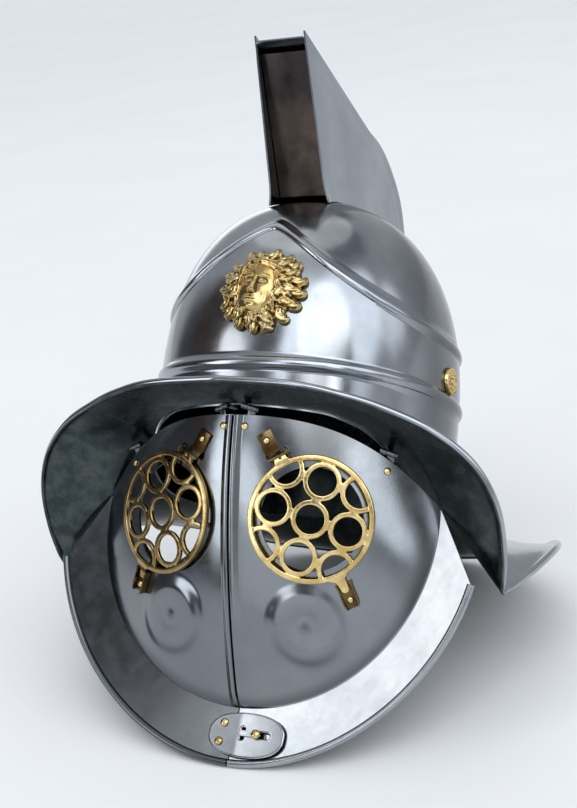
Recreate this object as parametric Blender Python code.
"""Gladiator helmet: steel bowl, arched brim, neck guard, box crest and a two-leaf visor with brass eye grilles.

Helmet frame: metres, +Z up, the face looks along -Y and +X is the wearer's left. The brow plane is z = 0 and
the bowl's axis is x = y = 0. Every piece is built in that frame under the empty rest_frame, which tips the
helmet back until it stands on the chin flange and the neck guard's rear edge.
"""

import math

import bpy
import numpy as np
from mathutils import Matrix

# Metal and clearances
SHEET = 0.0014
GAP = 0.0004
FOLD_GAP = 0.0018
ROOT_GAP = 0.0012
BEAD_RADIUS = 0.0027

# Bowl: a superelliptic dome on an oval that is squarer in front, with a straight wall below the brow
BOWL_HALF_WIDTH = 0.1125
BOWL_FRONT_LENGTH = 0.116
BOWL_FRONT_POWER = 2.3
BOWL_BACK_LENGTH = 0.127
BOWL_BASE = -0.020
BOWL_HEIGHT = 0.157
BOWL_POWER = 2.5
BOWL_POWER_FALL = 0.35
BOWL_COLUMNS = 44
RIB_HEIGHT = 0.0018
RIB_HALF_WIDTH = 0.0036
DIADEM_PEAK = 0.100
DIADEM_LOW = 0.025
DIADEM_SPREAD = 39.0
DIADEM_POWER = 1.35
LOW_RIB = -0.009
LOW_RIB_FALL = 0.0124

# Lower edge of the bowl: degrees round from the front, height
BOWL_FOOT = ((0, -0.040), (30, -0.044), (45, -0.052), (57, -0.065), (68, -0.082), (90, -0.096), (120, -0.098),
             (180, -0.096))
CREASE_ANGLE = 68.0

# Outer edge of the brim, from the front centre to the low corner of the wing
BRIM_EDGE = (
    (0.000, -0.155, -0.029),
    (0.054, -0.150, -0.031),
    (0.087, -0.141, -0.036),
    (0.115, -0.129, -0.043),
    (0.145, -0.116, -0.055),
    (0.170, -0.100, -0.074),
    (0.183, -0.084, -0.099),
    (0.185, -0.067, -0.128),
    (0.180, -0.049, -0.157),
)
WING_BULGE = (0.002, -0.009, 0.008)
WING_START = 0.45

# Outer edge of the neck guard, from the low corner to the back centre
NECK_EDGE = (
    (0.180, -0.049, -0.157),
    (0.188, -0.002, -0.135),
    (0.188, 0.046, -0.117),
    (0.174, 0.092, -0.110),
    (0.150, 0.136, -0.111),
    (0.110, 0.169, -0.1155),
    (0.060, 0.186, -0.1185),
    (0.000, 0.190, -0.119),
)
NECK_SAG = 0.008

# Crest: two side plates, front panel and a strip along the top and back (y, z of the side outline)
CREST_HALF_WIDTH = 0.0240
CREST_TAPER = 0.024
CREST_TOP = ((-0.110, 0.241), (0.017, 0.208))
CREST_BACK = ((0.017, 0.208), (0.041, 0.204), (0.064, 0.193), (0.088, 0.173), (0.103, 0.145), (0.112, 0.112),
              (0.117, 0.078))
CREST_FRONT_FOOT = -0.053
CREST_LIP = 0.0035
CREST_RECESS = 0.010
CREST_CLEAR = 0.0009

# Visor: a keeled dome inside a circular flange, split along x = 0
VISOR_CENTRE = -0.115
DOME_RADIUS = 0.1355
FLANGE_RADIUS = 0.1685
FLANGE_DROP = 0.0045
FLANGE_BACK = -0.060
FLANGE_LEAN = 0.10
FLANGE_DISH = 0.006
RIDGE_FRONT = -0.122
RIDGE_RUN = 0.048
VISOR_TOP = -0.048
VISOR_TOP_FALL = 0.054
VISOR_FAN = (0.0, -0.125)
SEAM = 0.0005
RIDGE_WIDTH = 0.0058
RIDGE_RISE = 0.0028
CHEEK_CENTRE = (0.054, -0.190)
CHEEK_RADIUS = 0.027
CHEEK_RISE = 0.0022

# Visor hinges: centre and temple knuckles on one axis for each half
KNUCKLES = ((0.0125, -0.1200, -0.0430), (0.1045, -0.0828, -0.0674))
LUG_ANGLES = (1.6, 57.5)
LUG_RISE = 0.014
BARREL_RADIUS = 0.0022
BARREL_WALL = 0.0008
BARREL_LENGTH = 0.0060
PIN_RADIUS = 0.0011
STRAP_WIDTH = 0.0052
STRAP_THICK = 0.0012
VISOR_RIVETS = ((0.0085, -0.0560), (0.1025, -0.0795))
RIVET_RADIUS = 0.0026
RIVET_HEIGHT = 0.0016

# Eye grilles
EYE_CENTRE = (0.0575, -0.117)
EYE_HOLE_RADIUS = 0.036
GRILLE_RADIUS = 0.0445
GRILLE_RIM = 0.0038
GRILLE_THICK = 0.0034
GRILLE_LIFT = 0.0010
GRILLE_TURN = -3.0
GRILLE_DOME = 0.0035
RING_PITCH = 0.0272
RING_RADIUS = 0.0139
RING_BAR = 0.0042
STRAP_TILT = 32.0
LEAF_WIDTH = 0.0112
HINGE_BARREL = 0.0488
HINGE_LEAF = (0.0500, 0.0670)
HINGE_RIVET = 0.0610
CLIP_TILT = 27.0
CLIP = (0.0460, 0.0645)
CLIP_WALL = 0.0045
CLIP_RIVET = 0.0585

# Chin latch
CHIN_PLATE_CENTRE = (0.0115, -0.2690)
CHIN_PLATE_SIZE = (0.0590, 0.0315)
CHIN_PLATE_LIFT = 0.0025
CHIN_PLATE_POWER = 2.4
CHIN_RIVETS = ((-0.0185, 0.0072), (-0.0200, -0.0062))
CHIN_SLIT = (-0.0030, 0.0010, 0.0030, 0.0090)
CHIN_SLOT = (0.0120, 0.0010, 0.0130, 0.0042)
CHIN_BUTTON = (0.0082, 0.0010)
CHIN_BUTTON_RADIUS = 0.0033
CHIN_BOLT = (0.0160, 0.0040, 0.0010)

# Trim
MEDALLION_CENTRE = (2.5, 0.044)
MEDALLION_RADIUS = 0.0335
MEDALLION_LOCKS = 17
MEDALLION_RIM = 0.0030
MEDALLION_HAIR = 0.0080
MEDALLION_FACE = 0.0140
FACE_SIZE = (0.0125, 0.0175)
ROSETTE_ANGLE = 90.0
ROSETTE_HEIGHT = -0.0006
ROSETTE_RADIUS = 0.0106

# Rest: tipped back onto the chin flange and the neck guard's rear edge
TIP_BACK = 31.71


def clear_scene():
    for obj in list(bpy.data.objects):
        bpy.data.objects.remove(obj, do_unlink=True)


def material(name, colour, roughness):
    """A bare metal."""
    made = bpy.data.materials.new(name)
    made.use_nodes = True
    shader = made.node_tree.nodes["Principled BSDF"]
    shader.inputs["Base Color"].default_value = (*colour, 1.0)
    shader.inputs["Metallic"].default_value = 1.0
    shader.inputs["Roughness"].default_value = roughness
    return made


def smooth_curve(rows, t):
    """Catmull-Rom curve through the rows at t in 0..1, evenly spaced by row."""
    rows = np.asarray(rows, float)
    ends = np.vstack([2 * rows[0] - rows[1], rows, 2 * rows[-1] - rows[-2]])
    place = np.clip(np.asarray(t, float), 0, 1) * (len(rows) - 1)
    index = np.minimum(place.astype(int), len(rows) - 2)
    f = (place - index)[..., None]
    p0, p1, p2, p3 = (ends[index + k] for k in range(4))
    return 0.5 * (2 * p1 + (p2 - p0) * f + (2 * p0 - 5 * p1 + 4 * p2 - p3) * f**2
                  + (3 * p1 - p0 - 3 * p2 + p3) * f**3)


def unit(vectors):
    vectors = np.asarray(vectors, float)
    return vectors / np.linalg.norm(vectors, axis=-1, keepdims=True)


def mirrored(verts, faces):
    """The same mesh on the other side of x = 0."""
    return np.asarray(verts) * (-1, 1, 1), [tuple(reversed(face)) for face in faces]


def grid_faces(rows, columns, start=0, closed=False):
    """Quads of a grid of points stored row by row."""
    wrap = columns if closed else columns - 1
    return [
        (start + i * columns + j, start + (i + 1) * columns + j,
         start + (i + 1) * columns + (j + 1) % columns, start + i * columns + (j + 1) % columns)
        for i in range(rows - 1)
        for j in range(wrap)
    ]


def outward(verts, faces):
    """The closed body with its faces pointing out."""
    verts = np.asarray(verts, float)
    volume = sum(
        float(np.dot(verts[face[0]], np.cross(verts[face[k]], verts[face[k + 1]])))
        for face in faces
        for k in range(1, len(face) - 1)
    )
    return (verts, faces) if volume > 0 else (verts, [tuple(reversed(face)) for face in faces])


def loft(sections):
    """A closed body through closed sections with the same number of points, capped at both ends."""
    sections = np.asarray(sections, float)
    rows, columns = sections.shape[:2]
    faces = grid_faces(rows, columns, closed=True)
    faces.append(tuple(range(columns)))
    faces.append(tuple((rows - 1) * columns + j for j in reversed(range(columns))))
    return outward(sections.reshape(-1, 3), faces)


def tube(points, radius, sides=8):
    """A round bar along a line of points."""
    points = np.asarray(points, float)
    along = unit(np.gradient(points, axis=0))
    across = unit(np.cross(along, (0.13, 0.21, 0.97)))
    other = np.cross(along, across)
    turn = np.arange(sides) * 2 * math.pi / sides
    ring = np.cos(turn)[None, :, None] * across[:, None] + np.sin(turn)[None, :, None] * other[:, None]
    return loft(points[:, None] + radius * ring)


def frame_at(point, normal, up):
    """Matrix whose Z is the outward normal and whose Y leans towards up."""
    z = unit(normal)
    x = unit(np.cross(up, z))
    y = np.cross(z, x)
    matrix = np.eye(4)
    matrix[:3, :3] = np.column_stack([x, y, z])
    matrix[:3, 3] = point
    return matrix


def placed(shape, matrix):
    verts, faces = shape
    return np.asarray(verts) @ matrix[:3, :3].T + matrix[:3, 3], faces


def lathe(profile, sides):
    """A turned body about local Z from (radius, height) rows whose ends lie on the axis."""
    turn = np.arange(sides) * 2 * math.pi / sides
    rings = [[(r * math.cos(a), r * math.sin(a), h) for a in turn] for r, h in profile[1:-1]]
    verts = [point for ring in rings for point in ring]
    faces = [tuple(reversed(face)) for face in grid_faces(len(rings), sides, closed=True)]
    low, high = len(verts), len(verts) + 1
    verts += [(0, 0, profile[0][1]), (0, 0, profile[-1][1])]
    last = (len(rings) - 1) * sides
    for j in range(sides):
        k = (j + 1) % sides
        faces.append((low, k, j))
        faces.append((high, last + j, last + k))
    return outward(verts, faces)


def prism(outline, low, high):
    """A flat body from a counter-clockwise outline in local XY."""
    count = len(outline)
    verts = [(x, y, h) for h in (low, high) for x, y in outline]
    faces = [tuple(reversed(range(count))), tuple(range(count, 2 * count))]
    faces += [(j, (j + 1) % count, count + (j + 1) % count, count + j) for j in range(count)]
    return np.array(verts), faces


def oval(width, height, power=2.0, count=24, centre=(0.0, 0.0)):
    """Counter-clockwise outline of an oval; a higher power squares its corners."""
    turn = np.arange(count) * 2 * math.pi / count
    c, s = np.cos(turn), np.sin(turn)
    x = centre[0] + width / 2 * np.sign(c) * np.abs(c) ** (2 / power)
    y = centre[1] + height / 2 * np.sign(s) * np.abs(s) ** (2 / power)
    return list(zip(x, y))


def domed_head(radius, height, lift=0.0, sides=10):
    """A rivet head standing a gap above the surface."""
    base = GAP + lift
    rows = [(0, base), (radius, base), (radius * 0.92, base + height * 0.4), (radius * 0.55, base + height * 0.9),
            (0, base + height)]
    return lathe(rows, sides)


def ring_bar(centre, radius, bar, low, high, arc=(0, 360), steps=18):
    """Square bar bent into a ring, or into part of one, about a centre in local XY."""
    whole = arc[1] - arc[0] >= 360
    turn = np.radians(np.linspace(arc[0], arc[1], steps + 1))
    corners = ((radius - bar, low), (radius, low), (radius, high), (radius - bar, high))
    sections = [[(centre[0] + r * math.cos(a), centre[1] + r * math.sin(a), h) for r, h in corners] for a in turn]
    if not whole:
        return loft(sections)
    verts = np.reshape(sections[:-1], (-1, 3))
    faces = [(4 * i + j, 4 * i + (j + 1) % 4, 4 * k + (j + 1) % 4, 4 * k + j)
             for i, k in zip(range(steps), [*range(1, steps), 0]) for j in range(4)]
    return outward(verts, faces)


def strip(points, lift, across, width, thick):
    """Flat strip along a line of points: across is the direction of its width, lift that of its thickness."""
    points = np.asarray(points, float)
    lift = np.broadcast_to(np.asarray(lift, float), points.shape)
    half = np.asarray(across, float) * width / 2
    return loft([[p - half, p + half, p + half + thick * n, p - half + thick * n] for p, n in zip(points, lift)])


def merged(shapes, finish):
    """The union of overlapping closed bodies, as points and faces."""
    piece = add_piece("joining", shapes[0], finish, None)
    for shape in shapes[1:]:
        combine(piece, shape, "UNION")
    bpy.context.view_layer.update()
    mesh = piece.evaluated_get(bpy.context.evaluated_depsgraph_get()).to_mesh()
    verts = np.array([tuple(vertex.co) for vertex in mesh.vertices])
    faces = [tuple(face.vertices) for face in mesh.polygons]
    for helper in [modifier.object for modifier in piece.modifiers] + [piece]:
        bpy.data.objects.remove(helper, do_unlink=True)
    return verts, faces


def add_piece(name, shape, finish, parent, smooth=35.0):
    """A named object in the helmet frame, whatever empty it hangs on."""
    verts, faces = shape
    mesh = bpy.data.meshes.new(name)
    mesh.from_pydata([tuple(v) for v in verts], [], faces)
    mesh.materials.append(finish)
    mesh.shade_smooth()
    mesh.set_sharp_from_angle(angle=math.radians(smooth))
    piece = bpy.data.objects.new(name, mesh)
    bpy.context.scene.collection.objects.link(piece)
    piece.parent = parent
    if parent and parent.get("axis_matrix"):
        piece.matrix_parent_inverse = Matrix(np.array(parent["axis_matrix"]).reshape(4, 4)).inverted()
    return piece


def add_empty(name, parent, matrix=None):
    """An empty; its place in the helmet frame is kept for the pieces that hang on it."""
    empty = bpy.data.objects.new(name, None)
    bpy.context.scene.collection.objects.link(empty)
    empty.empty_display_size = 0.02
    empty.parent = parent
    if matrix is not None:
        local = Matrix([list(row) for row in matrix])
        if parent.get("axis_matrix"):
            above = Matrix(np.array(parent["axis_matrix"]).reshape(4, 4))
            empty.matrix_parent_inverse = above.inverted()
        empty.matrix_basis = local
        empty["axis_matrix"] = [value for row in local for value in row]
    return empty


def combine(piece, shape, operation):
    """Joins or cuts a helper shape into the piece."""
    helper = add_piece(f"{piece.name}_{operation.lower()}_{len(piece.modifiers)}", shape, piece.data.materials[0],
                       piece.parent)
    helper.hide_render = True
    helper.display_type = "WIRE"
    boolean = piece.modifiers.new(operation.title(), "BOOLEAN")
    boolean.operation = operation
    boolean.object = helper
    boolean.solver = "EXACT"


# Surfaces


def bowl_power(cosine):
    """Exponent of the dome's profile: a little rounder towards the back."""
    return BOWL_POWER - BOWL_POWER_FALL * (1 - cosine) / 2


def bowl_scale(z, cosine):
    """Size of the bowl's oval at height z."""
    rise = np.clip((np.asarray(z, float) - BOWL_BASE) / BOWL_HEIGHT, 0, 1)
    power = bowl_power(cosine)
    return (1 - rise**power) ** (1 / power)


def bowl_point(degrees, z, grow=0.0):
    """Point of the bowl at an angle round from the front; grow moves it outwards."""
    sine, cosine = np.sin(np.radians(degrees)), np.cos(np.radians(degrees))
    power = np.where(cosine > 0, 2 / BOWL_FRONT_POWER, 1.0)
    length = np.where(cosine > 0, BOWL_FRONT_LENGTH, BOWL_BACK_LENGTH)
    scale = bowl_scale(z, cosine)
    x = (BOWL_HALF_WIDTH * scale + grow) * np.sign(sine) * np.abs(sine) ** power
    y = -(length * scale + grow) * np.sign(cosine) * np.abs(cosine) ** power
    return np.stack(np.broadcast_arrays(x, y, np.asarray(z, float)), axis=-1)


def bowl_normal(degrees, z):
    """Outward normal of the bowl, from two short steps along its surface."""
    round_step = bowl_point(degrees + 0.5, z) - bowl_point(degrees - 0.5, z)
    up_step = bowl_point(degrees, z + 0.0005) - bowl_point(degrees, z - 0.0005)
    return unit(np.cross(round_step, up_step))


def bowl_height(x, y):
    """Height of the bowl over a point of its plan."""
    power = np.where(np.asarray(y) < 0, BOWL_FRONT_POWER, 2.0)
    length = np.where(np.asarray(y) < 0, BOWL_FRONT_LENGTH, BOWL_BACK_LENGTH)
    scale = (np.abs(x / BOWL_HALF_WIDTH) ** power + np.abs(y / length) ** power) ** (1 / power)
    rise_power = bowl_power(-np.sign(y) * (np.abs(y / length) / scale) ** (power / 2))
    return BOWL_BASE + BOWL_HEIGHT * (1 - np.clip(scale, 0, 1) ** rise_power) ** (1 / rise_power)


def bowl_foot(degrees):
    rows = np.array(BOWL_FOOT)
    a = abs((degrees + 180) % 360 - 180)
    place = np.interp(a, rows[:, 0], np.linspace(0, 1, len(rows)))
    return float(smooth_curve(rows, place)[1])


def diadem_height(degrees):
    """Height of the pediment rib: a peak at the front that falls to a level line past the ears."""
    a = abs((degrees + 180) % 360 - 180)
    return DIADEM_LOW + (DIADEM_PEAK - DIADEM_LOW) * math.exp(-((a / DIADEM_SPREAD) ** DIADEM_POWER))


def low_rib_height(degrees):
    return LOW_RIB - LOW_RIB_FALL * (1 - math.cos(math.radians(degrees))) / 2


def flange_front(x, z):
    """Front face of the visor's flange."""
    rho = np.hypot(x, z - VISOR_CENTRE)
    dish = np.maximum(rho - DOME_RADIUS, 0) / (FLANGE_RADIUS - DOME_RADIUS)
    return FLANGE_BACK + FLANGE_LEAN * (z - VISOR_CENTRE) - FLANGE_DISH * dish


def visor_front(x, z):
    """Front face of the visor: the keel's depth at this height, fading to the flange at the dome's edge."""
    x, z = np.broadcast_arrays(np.abs(np.asarray(x, float)), np.asarray(z, float))
    below = np.clip(VISOR_CENTRE - z, 0, None)
    half = np.sqrt(np.clip(DOME_RADIUS**2 - below**2, 1e-9, None))
    across = np.clip(x / half, 0, 1)
    drop = np.clip((VISOR_TOP - z) / (VISOR_TOP - VISOR_CENTRE + DOME_RADIUS), 0, 1)
    keel = RIDGE_FRONT + RIDGE_RUN * drop**1.9
    flat = flange_front(x, z)
    away = np.hypot(x - CHEEK_CENTRE[0], z - CHEEK_CENTRE[1]) / CHEEK_RADIUS
    cheek = CHEEK_RISE * np.clip(4 * (1 - away), 0, 1)
    inside = np.hypot(x, z - VISOR_CENTRE) < DOME_RADIUS
    dome = flat + (keel - flat) * (1 - across**1.6) ** 0.9 - cheek
    return np.where(inside, dome, flat)


def seat(x, z, up, width=0.0, length=0.0, turn=0.0, lift=GAP):
    """Matrix on the visor's front for a flat foot of this size, lifted until it clears the curved face."""
    matrix = visor_frame(x, z, 0.0, up)
    if turn:
        matrix[:3, :3] = np.array(Matrix.Rotation(math.radians(turn), 3, "Z")) @ matrix[:3, :3]
    u, v = np.meshgrid(np.linspace(-width / 2, width / 2, 9), np.linspace(-length / 2, length / 2, 15))
    foot = matrix[:3, 3] + u[..., None] * matrix[:3, 0] + v[..., None] * matrix[:3, 1]
    ahead = foot[..., 1] - visor_front(foot[..., 0], foot[..., 2])
    matrix[:3, 3] += (max(0.0, float(ahead.max()) * -matrix[1, 2]) + lift) * matrix[:3, 2]
    return matrix


def visor_frame(x, z, lift, up):
    """Matrix on the visor's front face, Z outwards."""
    step = 0.002
    slope_x = (visor_front(x + step, z) - visor_front(x - step, z)) / (2 * step)
    slope_z = (visor_front(x, z + step) - visor_front(x, z - step)) / (2 * step)
    normal = unit((slope_x, -1.0, slope_z))
    return frame_at(np.array([x, float(visor_front(x, z)), z]) + lift * normal, normal, up)


# Pieces


def bowl_shape():
    """The dome as one thin shell: the outside with its ribs, the inside plain, joined at the foot."""
    angles = np.arange(BOWL_COLUMNS) * 360 / BOWL_COLUMNS
    apex = BOWL_BASE + BOWL_HEIGHT
    outer, inner = [], []
    for a in angles:
        rib = diadem_height(a)
        top = rib + (apex - rib) * np.array([0.24, 0.45, 0.64, 0.80, 0.91, 0.977])
        girdle = low_rib_height(a)
        low = girdle + RIB_HALF_WIDTH
        middle = low + (rib - RIB_HALF_WIDTH - low) * np.array([0.33, 0.67])
        heights = [bowl_foot(a), girdle - RIB_HALF_WIDTH, girdle, low, *middle,
                   rib - RIB_HALF_WIDTH, rib, rib + RIB_HALF_WIDTH, *top]
        raised = [0, 0, RIB_HEIGHT, 0, 0, 0, 0, RIB_HEIGHT, 0] + [0] * len(top)
        outer.append([bowl_point(a, z, grow) for z, grow in zip(heights, raised)])
        squeeze = (BOWL_HEIGHT - SHEET) / BOWL_HEIGHT
        inside = [min(z, BOWL_BASE) + max(z - BOWL_BASE, 0) * squeeze for z in heights]
        inner.append([bowl_point(a, z, -SHEET) * (1, 1, 0) + (0, 0, s) for z, s in zip(heights, inside)])
    outer, inner = np.swapaxes(outer, 0, 1), np.swapaxes(inner, 0, 1)
    rows = len(outer)
    verts = [*outer.reshape(-1, 3), *inner.reshape(-1, 3), (0, 0, apex), (0, 0, apex - SHEET)]
    n, skip = BOWL_COLUMNS, rows * BOWL_COLUMNS
    faces = [tuple(reversed(f)) for f in grid_faces(rows, n, closed=True)]
    faces += grid_faces(rows, n, start=skip, closed=True)
    last = (rows - 1) * n
    for j in range(n):
        k = (j + 1) % n
        faces.append((last + j, last + k, 2 * skip))
        faces.append((skip + last + k, skip + last + j, 2 * skip + 1))
        faces.append((k, j, skip + j, skip + k))
    return outward(verts, faces)


def plate_sections(roots, edges, bulges, sags, bead):
    """Closed sections of a flared plate with a round bead along its outer edge, one for each station."""
    s = np.linspace(0, 1, 7)[None, :, None]
    surface = roots[:, None] * (1 - s) + edges[:, None] * s
    surface = surface + bulges[:, None] * 4 * s * (1 - s) + sags[:, None, None] * (0, 0, -1) * 4 * s * (1 - s)
    along = np.gradient(surface, axis=0)
    across = np.gradient(surface, axis=1)
    normal = unit(np.cross(across, along))
    top = surface + normal * SHEET / 2
    bottom = surface - normal * SHEET / 2
    out = unit(across[:, -1])
    lift = normal[:, -1]
    centre = surface[:, -1]
    turn = np.radians(np.linspace(150, -150, 8))
    wide = bead[:, None, None]
    roll = centre[:, None] + wide * (np.cos(turn)[None, :, None] * out[:, None]
                                     + np.sin(turn)[None, :, None] * lift[:, None])
    return np.concatenate([top[:, :-1], roll, bottom[:, -2::-1]], axis=1)


def bead_sizes(u):
    """Full bead, drawn in at the ends of the edge."""
    return BEAD_RADIUS * np.clip(0.3 + (1 - np.abs(u)) / 0.05, 0.3, 1.0)


def shortened(points, back):
    """Moves the first and last stations in along their line, to leave the fold's gap."""
    points = np.array(points)
    for end, near in ((0, 1), (-1, -2)):
        step = points[near] - points[end]
        points[end] = points[end] + step * (back / np.linalg.norm(step, axis=-1, keepdims=True))
    return points


def brim_shape():
    """Arched hood from one low corner over the brow to the other."""
    u = np.linspace(-1, 1, 35)
    side = np.sign(u)[:, None] ** 2 * np.where(u < 0, -1, 1)[:, None]
    flip = np.hstack([side, np.ones((len(u), 2))])
    edges = smooth_curve(BRIM_EDGE, np.abs(u)) * flip
    turn = CREASE_ANGLE * np.abs(u) ** 0.85
    roots = np.array([bowl_point(a, bowl_foot(a) + 0.002, ROOT_GAP) for a in turn]) * flip
    start = np.clip((np.abs(u) - WING_START) / (1 - WING_START), 0, 1)
    ease = start * start * (3 - 2 * start)
    bulges = ease[:, None] * np.array(WING_BULGE) * flip
    return loft(shortened(plate_sections(roots, edges, bulges, np.zeros(len(u)), bead_sizes(u)), FOLD_GAP))


def neck_guard_shape():
    """Flared plate from one low corner round the nape to the other."""
    v = np.linspace(-1, 1, 33)
    side = np.where(v < 0, 1, -1)[:, None]
    flip = np.hstack([side, np.ones((len(v), 2))])
    edges = smooth_curve(NECK_EDGE, 1 - np.abs(v)) * flip
    turn = 180 - (180 - CREASE_ANGLE) * np.abs(v)
    roots = np.array([bowl_point(a, bowl_foot(a) + 0.002, ROOT_GAP) for a in turn]) * flip
    ease = np.clip((np.abs(v) - 0.72) / 0.28, 0, 1) ** 1.5
    bulges = ease[:, None] * np.array(WING_BULGE) * flip
    sags = NECK_SAG * (1 - ease)
    return loft(shortened(plate_sections(roots, edges, bulges, sags, bead_sizes(v)), FOLD_GAP))


def crest_half(z):
    """Half width of the crest at height z: it narrows towards the top."""
    return CREST_HALF_WIDTH - CREST_TAPER * np.clip(np.asarray(z) - 0.12, 0, None)


def crest_height(y):
    """Height of the bowl under the crest's side plate."""
    return bowl_height(CREST_HALF_WIDTH - SHEET, y)


def crest_outline(inset):
    """Side outline, counter-clockwise seen from +X, each edge but the foot moved in by inset."""
    back = smooth_curve(CREST_BACK, np.linspace(0, 1, 13))
    edge = np.vstack([CREST_TOP[0], back])
    along = unit(np.gradient(edge, axis=0))
    edge = edge + inset * np.column_stack([along[:, 1], -along[:, 0]])
    foot = np.linspace(edge[-1, 0] - 0.002, CREST_FRONT_FOOT + inset, 14)
    rise = (crest_height(foot + 0.0005) - crest_height(foot - 0.0005)) / 0.001
    bottom = np.column_stack([foot, crest_height(foot)]) + CREST_CLEAR * unit(np.column_stack([-rise, 0 * rise + 1]))
    return edge, bottom


def crest_side_shape(side):
    edge, bottom = crest_outline(0.0)
    outline = [(y, z) for y, z in np.vstack([edge, bottom])[::-1]]
    verts, faces = prism(outline, 0, SHEET)
    verts = np.column_stack([verts[:, 2] + crest_half(verts[:, 1]) - SHEET, verts[:, 0], verts[:, 1]])
    return (verts, faces) if side > 0 else mirrored(verts, faces)


def crest_front_shape():
    """Flat panel set back between the side plates."""
    low = np.array([CREST_FRONT_FOOT + CREST_RECESS, float(crest_height(CREST_FRONT_FOOT + CREST_RECESS)) + 0.006])
    high = np.array([CREST_TOP[0][0] + CREST_RECESS, CREST_TOP[0][1] - CREST_LIP - SHEET - 0.006])
    rows = []
    for y, z in (low, high):
        half = crest_half(z) - SHEET - GAP
        rows.append([(-half, y, z), (half, y, z), (half, y + SHEET, z), (-half, y + SHEET, z)])
    return loft(rows)


def crest_strip_shape():
    """Strip along the top and the back, just below the side plates' edges."""
    edge, _ = crest_outline(CREST_LIP)
    inner, _ = crest_outline(CREST_LIP + SHEET)
    edge[0] += (edge[1] - edge[0]) * 0.02
    inner[0] += (inner[1] - inner[0]) * 0.02
    rows = []
    for outside, inside in zip(edge[:-1], inner[:-1]):
        half = float(crest_half(outside[1])) - SHEET - GAP
        rows.append([(-half, *inside), (-half, *outside), (half, *outside), (half, *inside)])
    return loft(rows)


def visor_sheet():
    """Left half as an open surface: a fan from the keel to the dome's edge, then the flange."""
    top_x = DOME_RADIUS * math.cos(math.radians(5.5))
    upper = [(x, VISOR_TOP - VISOR_TOP_FALL * (x / top_x) ** 3) for x in np.linspace(SEAM, top_x, 11)]
    arc = np.radians(np.linspace(5.5, -90, 21))[1:]
    round_edge = [(max(DOME_RADIUS * math.cos(a), SEAM), VISOR_CENTRE + DOME_RADIUS * math.sin(a)) for a in arc]
    rim = np.array(upper + round_edge)
    centre = np.array([SEAM, VISOR_FAN[1]])
    steps = np.array([0.14, 0.28, 0.42, 0.56, 0.70, 0.84, 1.0])
    flat = [centre] + [centre + (edge - centre) * k for edge in rim for k in steps]
    faces = []
    ray = len(steps)
    for i in range(len(rim) - 1):
        a, b = 1 + i * ray, 1 + (i + 1) * ray
        faces.append((0, b, a))
        faces += [(a + j, b + j, b + j + 1, a + j + 1) for j in range(ray - 1)]
    first = len(upper) - 1
    outer = np.radians(np.linspace(-13, -90, len(rim) - first))
    base = len(flat)
    for i, a in enumerate(outer):
        reach = FLANGE_RADIUS + FLANGE_DROP * max(0.0, math.sin(-a)) ** 8
        end = np.array([max(reach * math.cos(a), SEAM), VISOR_CENTRE + reach * math.sin(a)])
        start = rim[first + i]
        flat += [start + (end - start) * 0.5, end]
    for i in range(len(outer) - 1):
        inner_a, inner_b = 1 + (first + i) * ray + ray - 1, 1 + (first + i + 1) * ray + ray - 1
        a, b = base + 2 * i, base + 2 * (i + 1)
        faces += [(inner_a, inner_b, b, a), (a, b, b + 1, a + 1)]
    flat = np.array(flat)
    verts = np.column_stack([flat[:, 0], visor_front(flat[:, 0], flat[:, 1]), flat[:, 1]])
    return verts, faces, verts[base + 1 :: 2]


def ridge_shape():
    """Raised band along the inner edge of a visor half, sunk a little into the sheet."""
    z = np.linspace(VISOR_TOP - 0.0006, VISOR_CENTRE - DOME_RADIUS + 0.0022, 15)
    rows = []
    for height in z:
        front = float(visor_front(SEAM, height))
        rows.append([(SEAM + 0.0001, front - RIDGE_RISE, height), (RIDGE_WIDTH * 0.75, front - RIDGE_RISE, height),
                     (RIDGE_WIDTH, front - RIDGE_RISE * 0.5, height), (RIDGE_WIDTH, front + 0.0009, height),
                     (SEAM + 0.0001, front + 0.0009, height)])
    return loft(rows)


def add_visor_half(side, name, steel, parent):
    verts, faces, edge = visor_sheet()
    ridge = ridge_shape()
    bead = tube(edge + (0, 0.0006, 0), BEAD_RADIUS)
    eye = visor_frame(*EYE_CENTRE, 0.0, (0, 0, 1))
    turn = np.arange(28) * 2 * math.pi / 28
    hole = placed(prism([(EYE_HOLE_RADIUS * math.cos(a), EYE_HOLE_RADIUS * math.sin(a)) for a in turn],
                        -0.03, 0.03), eye)
    shapes = [(verts, faces), ridge, bead, hole]
    if side < 0:
        shapes = [mirrored(*shape) for shape in shapes]
    half = add_piece(name, shapes[0], steel, parent)
    thicken = half.modifiers.new("Sheet", "SOLIDIFY")
    thicken.thickness = SHEET
    thicken.offset = -1.0
    thicken.use_even_offset = True
    combine(half, shapes[1], "UNION")
    combine(half, shapes[2], "UNION")
    combine(half, shapes[3], "DIFFERENCE")
    return half


def strap_seat(distance, tilt, width, length):
    """Matrix on the visor at a distance from the grille's centre: its Y runs away from the grille."""
    a = math.radians(tilt)
    reach = abs(distance)
    way = np.array((-math.sin(a), 0, math.cos(a))) * (1 if distance > 0 else -1)
    return seat(EYE_CENTRE[0] + reach * way[0], EYE_CENTRE[1] + reach * way[2], way, width, length)


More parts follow.
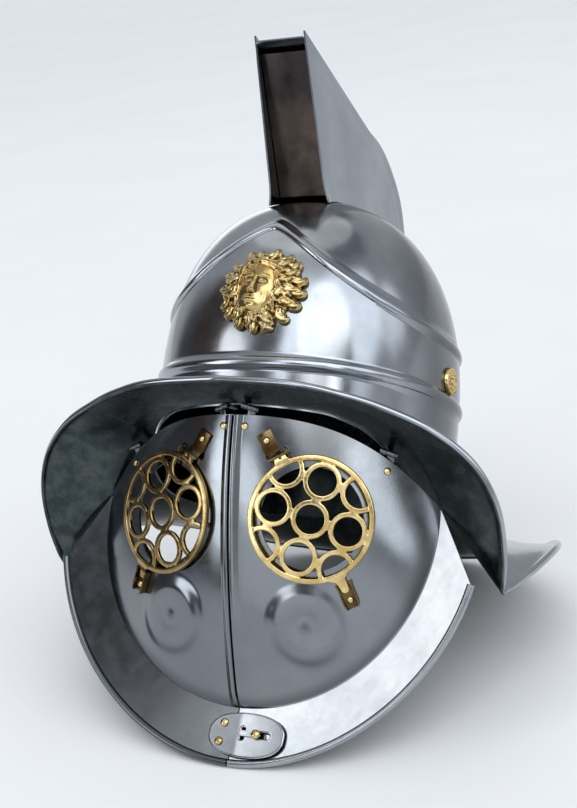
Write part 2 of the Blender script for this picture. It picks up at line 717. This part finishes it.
def grille_shape(brass):
    """Rim, centre ring, four rings round it and four more that the rim cuts, all slightly domed."""
    rim = ring_bar((0, 0), GRILLE_RADIUS, GRILLE_RIM, 0, GRILLE_THICK, steps=36)
    shapes = [rim]
    diagonal = RING_PITCH * math.sqrt(2)
    middle = GRILLE_RADIUS - GRILLE_RIM / 2
    bar = RING_RADIUS - RING_BAR / 2
    ends = math.degrees(math.acos((middle**2 - diagonal**2 - bar**2) / (2 * diagonal * bar)))
    for k in range(4):
        a = math.radians(45 + 90 * k)
        centre = (RING_PITCH * math.cos(a), RING_PITCH * math.sin(a))
        shapes.append(ring_bar(centre, RING_RADIUS, RING_BAR, 0.0002 + 0.0001 * k, 0.0028 + 0.0001 * k))
        out = math.degrees(a) + 45
        corner = (diagonal * math.cos(math.radians(out)), diagonal * math.sin(math.radians(out)))
        shapes.append(ring_bar(corner, RING_RADIUS, RING_BAR, 0.0006, 0.0026, (out + ends, out + 360 - ends), 14))
    shapes.append(ring_bar((0, 0), RING_RADIUS, RING_BAR, 0.0007, 0.0032))
    verts, faces = merged(shapes, brass)
    verts[:, 2] += GRILLE_DOME * (1 - (verts[:, 0] ** 2 + verts[:, 1] ** 2) / GRILLE_RADIUS**2)
    return verts, faces


def grille_trim():
    """Frame of the left grille, the fittings that hold it and their rivets."""
    tilt = math.radians(STRAP_TILT)
    up = (-math.sin(tilt), 0, math.cos(tilt))
    grille = seat(*EYE_CENTRE, up, turn=GRILLE_TURN, lift=GRILLE_LIFT)
    barrel = (grille @ np.array([0, HINGE_BARREL, 0.0030, 1]))[:3]
    half = (HINGE_LEAF[1] - HINGE_LEAF[0]) / 2
    leaf = strap_seat(HINGE_LEAF[0] + half, STRAP_TILT, LEAF_WIDTH, 2 * half)
    near = np.linalg.inv(leaf) @ np.append(barrel, 1)
    path = [(0, near[1], near[2]), (0, near[1] + 0.0028, max(near[2] - 0.0012, 0.0002)), (0, -half * 0.6, 0),
            (0, half, 0)]
    hinge = placed(strip(path, (0, 0, 1), (1, 0, 0), LEAF_WIDTH, STRAP_THICK), leaf)
    turn = np.array(grille)
    turn[:3, :3] = grille[:3, [1, 2, 0]]
    turn[:3, 3] = barrel
    rod = placed(lathe([(0, -0.0080), (0.0016, -0.0080), (0.0016, 0.0080), (0, 0.0080)], 10), turn)
    ring = turn.copy()
    ring[:3, 3] = barrel + 0.0070 * turn[:3, 2] + 0.0006 * turn[:3, 1]
    loop = placed(ring_bar((0, 0), 0.0043, 0.0011, -0.0006, 0.0006, steps=16), ring)
    length = (CLIP[1] - CLIP[0]) / 2
    clip = strap_seat(-CLIP[0] - length, CLIP_TILT, LEAF_WIDTH, 2 * length)
    w, h, t = LEAF_WIDTH / 2, CLIP_WALL, STRAP_THICK
    channel = [(-w, 0), (w, 0), (w, h), (w - t, h), (w - t, t), (t - w, t), (t - w, h), (-w, h)]
    ends = ((-length, 1.12), (0.0035 - length, 1.0), (length - 0.0040, 1.0), (length - 0.0013, 0.90), (length, 0.74))
    bracket = placed(loft([[(x * wide, y, z) for x, z in channel] for y, wide in ends]), clip)
    head = domed_head(RIVET_RADIUS, RIVET_HEIGHT, STRAP_THICK)
    upper, lower = leaf.copy(), clip.copy()
    upper[:3, 3] += (HINGE_RIVET - HINGE_LEAF[0] - half) * leaf[:3, 1]
    lower[:3, 3] += (CLIP_RIVET - CLIP[0] - length) * clip[:3, 1]
    return grille, [(hinge, rod), (loop,), (bracket,)], [placed(head, upper), placed(head, lower)]


def knuckle_frame(place):
    """Matrix at a visor knuckle whose Z runs along the hinge, towards the centre line."""
    first, second = (np.array(k) for k in KNUCKLES)
    matrix = frame_at((first, second)[place], first - second, (0, 0, 1))
    return matrix


def visor_strap_shape(place, steel):
    """Barrel on the hinge line with a leaf that runs down inside the visor's sheet."""
    matrix = knuckle_frame(place)
    barrel = placed(ring_bar((0, 0), BARREL_RADIUS, BARREL_WALL, -BARREL_LENGTH / 2, BARREL_LENGTH / 2, steps=14),
                    matrix)
    knuckle, rivet = matrix[:3, 3], np.array(VISOR_RIVETS[place])
    start = np.array([knuckle[0] + (rivet[0] - knuckle[0]) * 0.3, knuckle[2] - 0.0075])
    end = rivet + (rivet - start) * 0.45
    path, lifts = [], []
    for t in (0.0, 0.33, 0.67, 1.0):
        x, z = start + (end - start) * t
        face = visor_frame(x, z, -SHEET - 3 * GAP - STRAP_THICK, (0, 0, 1))
        path.append(face[:3, 3])
        lifts.append(face[:3, 2])
    across = matrix[:3, 2]
    inward = unit(np.cross(across, path[0] - knuckle))
    inward = inward if inward[1] > 0 else -inward
    root = knuckle + inward * (BARREL_RADIUS + 0.0005)
    leaf = strip([root, *path], [-inward, *lifts], across, STRAP_WIDTH, STRAP_THICK)
    return merged([barrel, leaf], steel)


def visor_lug_shape(place, steel):
    """Pin and its solid knuckle, on a strip that runs to the inside of the bowl's wall."""
    matrix = knuckle_frame(place)
    half = BARREL_LENGTH / 2
    rows = [(0, -half - 0.0016), (0.0019, -half - 0.0016), (0.0019, -half - GAP), (PIN_RADIUS, -half - GAP),
            (PIN_RADIUS, half + GAP), (BARREL_RADIUS, half + GAP), (BARREL_RADIUS, half + 0.0048), (0, half + 0.0048)]
    pin = placed(lathe(rows, 12), matrix)
    across = matrix[:3, 2]
    eye = matrix[:3, 3] + across * (half + 0.0028)
    angle = LUG_ANGLES[place]
    inside = -SHEET - STRAP_THICK - 5 * GAP
    low = bowl_point(angle, eye[2] - 0.001, inside)
    high = bowl_point(angle, eye[2] + LUG_RISE, inside)
    flat = across - across * (0, 0, 1)
    lift = unit(np.cross(low - eye, flat))
    lift = lift if lift[2] > 0 else -lift
    wall = bowl_normal(angle, 0.0)
    path = [eye, low, high]
    strip_lift = [lift, unit(lift + wall), wall]
    return merged([pin, strip(path, strip_lift, unit(across), 0.0044, STRAP_THICK)], steel)


def chin_frame():
    """Matrix on the chin, square to the centre line."""
    x, z = CHIN_PLATE_CENTRE
    matrix = visor_frame(0.0, z, CHIN_PLATE_LIFT, (0, 0, 1))
    matrix[0, 3] = x
    return matrix


def box_shape(x, y, width, height, low, high):
    w, h = width / 2, height / 2
    return prism([(x - w, y - h), (x + w, y - h), (x + w, y + h), (x - w, y + h)], low, high)


def add_chin_latch(steel, brass, parent):
    """Plate riveted to the right half that laps the left one, and a small bolt with a button in front of it."""
    frame = chin_frame()
    outline = oval(*CHIN_PLATE_SIZE, CHIN_PLATE_POWER, 32)
    plate = add_piece("chin_plate", placed(prism(outline, 0, SHEET), frame), steel, parent)
    for x, y, width, height in (CHIN_SLIT, CHIN_SLOT):
        combine(plate, placed(box_shape(x, y, width, height, -0.002, 0.004), frame), "DIFFERENCE")
    for k, (x, y) in enumerate(CHIN_RIVETS):
        head = domed_head(RIVET_RADIUS * 1.15, RIVET_HEIGHT * 1.2, SHEET)
        place = frame @ np.array([[1, 0, 0, x], [0, 1, 0, y], [0, 0, 1, 0], [0, 0, 0, 1]])
        add_piece(f"chin_rivet_{('upper', 'lower')[k]}", placed(head, place), brass, parent)
    return frame


def medallion_relief(x, y):
    """Height of the medallion over its back: a rim of locks and a plain raised face."""
    radius = np.hypot(x, y) / MEDALLION_RADIUS
    turn = np.arctan2(y, x)
    locks = 0.5 + 0.5 * np.cos(MEDALLION_LOCKS * turn)
    hair = MEDALLION_HAIR * np.exp(-((radius - 0.62) / 0.30) ** 2) * (0.85 + 0.15 * locks)
    face = MEDALLION_FACE * np.sqrt(np.clip(1 - (x / FACE_SIZE[0]) ** 2 - (y / FACE_SIZE[1]) ** 2, 0, 1))
    return MEDALLION_RIM * (1 - 0.4 * radius**6) + np.maximum(hair, face)


def medallion_shape():
    """Round relief whose flat back follows the bowl."""
    rings = np.array([0.14, 0.28, 0.42, 0.56, 0.72, 0.88, 1.0])
    turn = np.arange(34) * 2 * math.pi / 34
    centre_angle, centre_height = MEDALLION_CENTRE
    normal = bowl_normal(centre_angle, centre_height)
    slope = math.sqrt(1 - normal[2] ** 2)
    middle = bowl_point(centre_angle, centre_height)

    def layer(x, y, lift):
        z = centre_height + y * slope
        width = BOWL_HALF_WIDTH * bowl_scale(z, 1.0)
        across = np.clip((middle[0] + x) / width, -1, 1)
        degrees = np.degrees(np.arcsin(np.sign(across) * np.abs(across) ** (BOWL_FRONT_POWER / 2)))
        return bowl_point(degrees, z) + lift[..., None] * normal

    edge = 1 - 0.035 * (1 + np.cos(MEDALLION_LOCKS * turn))
    x = MEDALLION_RADIUS * rings[:, None] * np.cos(turn) * edge
    y = MEDALLION_RADIUS * rings[:, None] * np.sin(turn) * edge
    front = layer(x, y, 2 * GAP + medallion_relief(x, y))
    back = layer(x, y, np.full_like(x, 2 * GAP))
    peak = layer(np.zeros(1), np.zeros(1), 2 * GAP + medallion_relief(np.zeros(1), np.zeros(1)))[0]
    heel = layer(np.zeros(1), np.zeros(1), np.full(1, 2 * GAP))[0]
    n = len(turn)
    verts = np.vstack([front.reshape(-1, 3), back.reshape(-1, 3), peak, heel])
    faces = grid_faces(len(rings), n, closed=True)
    faces += [tuple(reversed(face)) for face in grid_faces(len(rings), n, start=front.size // 3, closed=True)]
    skip, last = front.size // 3, (len(rings) - 1) * n
    for j in range(n):
        k = (j + 1) % n
        faces.append((2 * skip, j, k))
        faces.append((2 * skip + 1, skip + k, skip + j))
        faces.append((last + k, last + j, skip + last + j, skip + last + k))
    return outward(verts, faces)


def rosette_shape(side):
    rows = [(0, GAP), (ROSETTE_RADIUS, GAP), (ROSETTE_RADIUS, 0.0018), (0.0098, 0.0034), (0.0062, 0.0026),
            (0.0040, 0.0042), (0, 0.0050)]
    point = bowl_point(ROSETTE_ANGLE, ROSETTE_HEIGHT)
    normal = bowl_normal(ROSETTE_ANGLE, ROSETTE_HEIGHT)
    shape = placed(lathe(rows, 20), frame_at(point, normal, (0, 0, 1)))
    return shape if side > 0 else mirrored(*shape)


def stand_on_floor(rest):
    """Tips the whole helmet back, sets its lowest point on z = 0 and centres it from front to back."""
    rest.rotation_euler = (-math.radians(TIP_BACK), 0, 0)
    bpy.context.view_layer.update()
    graph = bpy.context.evaluated_depsgraph_get()
    points = []
    for obj in bpy.context.scene.objects:
        if obj.type != "MESH" or obj.hide_render:
            continue
        held = obj.evaluated_get(graph)
        points += [held.matrix_world @ vertex.co for vertex in held.data.vertices]
    depths = [point.y for point in points]
    rest.location.y = -(min(depths) + max(depths)) / 2
    rest.location.z = -min(point.z for point in points)
    bpy.context.view_layer.update()


def main():
    clear_scene()
    steel = material("polished_steel", (0.56, 0.59, 0.62), 0.16)
    brass = material("polished_brass", (0.80, 0.62, 0.26), 0.22)
    rest = add_empty("rest_frame", None)
    add_piece("bowl", bowl_shape(), steel, rest)
    add_piece("brim", brim_shape(), steel, rest)
    add_piece("neck_guard", neck_guard_shape(), steel, rest)
    add_piece("crest_side_left", crest_side_shape(1), steel, rest)
    add_piece("crest_side_right", crest_side_shape(-1), steel, rest)
    add_piece("crest_front_panel", crest_front_shape(), steel, rest)
    add_piece("crest_top_strip", crest_strip_shape(), steel, rest)
    add_piece("brow_medallion", medallion_shape(), brass, rest)
    grille_frame, fittings, rivets = grille_trim()
    grille = placed(grille_shape(brass), grille_frame)
    fittings = [merged(list(group), brass) for group in fittings]
    straps = [visor_strap_shape(place, steel) for place in (0, 1)]
    lugs = [visor_lug_shape(place, steel) for place in (0, 1)]
    head = domed_head(RIVET_RADIUS, RIVET_HEIGHT)
    size = 2 * RIVET_RADIUS
    visor_rivets = [placed(head, seat(x, z, (0, 0, 1), size, size, lift=0.0)) for x, z in VISOR_RIVETS]
    axes = {}
    for side, word in ((1, "left"), (-1, "right")):
        first, second = (np.array(k) * (side, 1, 1) for k in KNUCKLES)
        hinge = add_empty(f"visor_axis_{word}", rest, frame_at(first, second - first, (0, 0, 1)))
        axes[word] = hinge
        add_visor_half(side, f"visor_{word}", steel, hinge)
        moving = [("eye_grille", grille, brass), ("grille_hinge", fittings[0], brass), ("grille_ring", fittings[1], brass),
                  ("grille_clip", fittings[2], brass), ("grille_rivet_upper", rivets[0], brass),
                  ("grille_rivet_lower", rivets[1], brass), ("visor_strap_centre", straps[0], steel),
                  ("visor_strap_temple", straps[1], steel), ("visor_rivet_centre", visor_rivets[0], brass),
                  ("visor_rivet_temple", visor_rivets[1], brass)]
        fixed = [("visor_lug_centre", lugs[0], steel), ("visor_lug_temple", lugs[1], steel)]
        for pieces, parent in ((moving, hinge), (fixed, rest)):
            for name, shape, finish in pieces:
                add_piece(f"{name}_{word}", shape if side > 0 else mirrored(*shape), finish, parent)
        add_piece(f"ear_rosette_{word}", rosette_shape(side), brass, rest)
    chin = add_chin_latch(steel, brass, axes["right"])
    bolt_place = chin @ np.array([[1, 0, 0, CHIN_BUTTON[0]], [0, 1, 0, CHIN_BUTTON[1]], [0, 0, 1, SHEET + GAP],
                                  [0, 0, 0, 1]])
    slide = add_empty("chin_bolt_axis", axes["right"], bolt_place)
    length, width, thick = CHIN_BOLT
    bar = box_shape(0.002 - length / 2, 0, length, width, 0, thick)
    shank = prism(oval(0.0028, 0.0028, 2.0, 10), -SHEET * 0.55, thick / 2)
    add_piece("chin_bolt", placed(merged([bar, shank], steel), bolt_place), steel, slide)
    add_piece("chin_button", placed(domed_head(CHIN_BUTTON_RADIUS, 0.0024, thick), bolt_place), brass, slide)
    stand_on_floor(rest)


if __name__ == "__main__":
    main()
